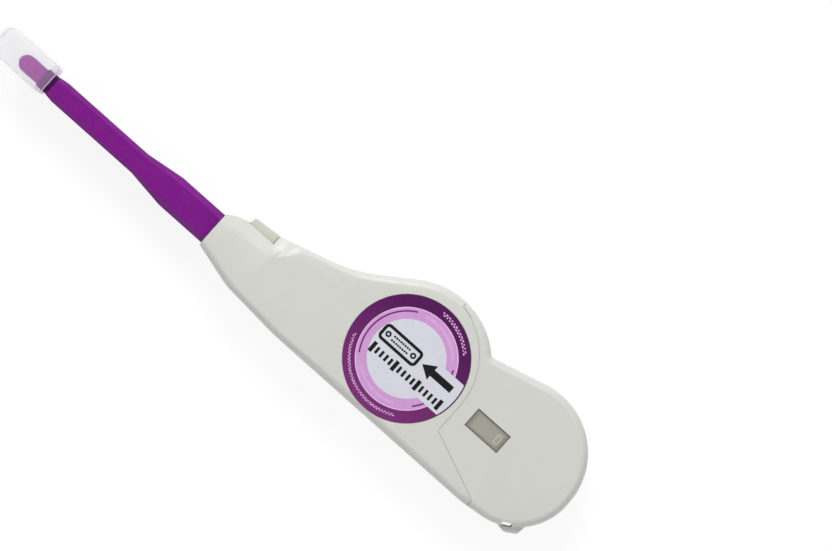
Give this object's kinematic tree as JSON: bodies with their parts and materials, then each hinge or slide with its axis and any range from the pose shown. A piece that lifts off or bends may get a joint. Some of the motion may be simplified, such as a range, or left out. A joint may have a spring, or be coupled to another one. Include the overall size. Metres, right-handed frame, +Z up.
{
  "type": "fibre connector tape cleaner",
  "caption": "Paddle-shaped push-action tape cleaner for multi-fibre connectors: off-white housing, purple nozzle under a clear cap, round label, tape window.",
  "frame": {"origin": "point of the flat back under the middle of the round label", "axes": "+X from the nozzle to the rounded tail, +Y towards the lock button's edge, +Z up out of the label face"},
  "size_m": [0.2289, 0.0473, 0.018],
  "materials": {
    "shell": "fine-textured warm off-white ABS",
    "label": "printed film disc, satin",
    "window": "smoky clear plastic",
    "spring": "spring steel",
    "frame": "natural acetal",
    "pins": "ground steel",
    "felt": "felt",
    "clips": "black acetal",
    "tape": "woven microfibre tape",
    "reel": "moulded polystyrene",
    "gear": "acetal",
    "nozzle": "semi-gloss purple ABS",
    "head": "white acetal",
    "cap": "clear soft plastic, slightly cloudy",
    "button": "cream-grey moulded plastic"
  },
  "bodies": {
    "housing": {"base_shell": "shell", "front_shell": "shell", "rear_shell": "shell", "label_disc": "label", "tape_window": "window", "return_spring": "spring", "button_spring": "spring"},
    "carriage": {"carriage_plate": "frame", "guide_pins": "pins", "ratchet_pawl": "frame", "brake_washer": "felt", "reel_clips": "clips", "tape_feed": "tape", "tape_return": "tape"},
    "take_up_spool": {"take_up_reel": "reel", "take_up_tape": "tape", "drive_pinion": "gear"},
    "supply_spool": {"supply_reel": "reel", "supply_tape": "tape"},
    "nozzle_group": {"nozzle": "nozzle", "tip_guide": "nozzle", "head_spring": "spring"},
    "head_group": {"cleaning_head": "head", "tape_fold": "tape"},
    "cap_group": {"guide_cap": "cap"},
    "button_group": {"lock_button": "button"}
  },
  "joints": [
    {"name": "push_stroke", "type": "slide", "parent": "housing", "child": "carriage", "axis": [1, 0, 0], "range_m": [0, 0.009], "stiffness_N_per_m": 400, "springref_m": -0.004, "deforming": ["return_spring"]},
    {"name": "take_up_turn", "type": "hinge", "parent": "carriage", "child": "take_up_spool", "pos_m": [-0.004, 0, 0.009], "axis": [0, 0, 1], "range_deg": [0, 110]},
    {"name": "supply_turn", "type": "hinge", "parent": "carriage", "child": "supply_spool", "pos_m": [0.036, 0, 0.009], "axis": [0, 0, 1], "range_deg": [-60, 0]},
    {"name": "nozzle_extend", "type": "slide", "parent": "carriage", "child": "nozzle_group", "axis": [-1, 0, 0], "range_m": [0, 0.01], "deforming": ["tape_feed", "tape_return"]},
    {"name": "head_press", "type": "slide", "parent": "nozzle_group", "child": "head_group", "axis": [1, 0, 0], "range_m": [0, 0.0015], "stiffness_N_per_m": 600, "springref_m": -0.001, "deforming": ["head_spring"]},
    {"name": "cap_pull", "type": "slide", "parent": "nozzle_group", "child": "cap_group", "axis": [-1, 0, 0], "range_m": [0, 0.03]},
    {"name": "lock_button_press", "type": "slide", "parent": "housing", "child": "button_group", "axis": [0, -1, 0], "range_m": [0, 0.0012], "stiffness_N_per_m": 1500, "springref_m": -0.0006, "deforming": ["button_spring"]}
  ],
  "couplings": [
    {"joint": "take_up_turn", "follows": "push_stroke", "rad_per_m": 204.08},
    {"joint": "supply_turn", "follows": "push_stroke", "rad_per_m": -98.949}
  ]
}
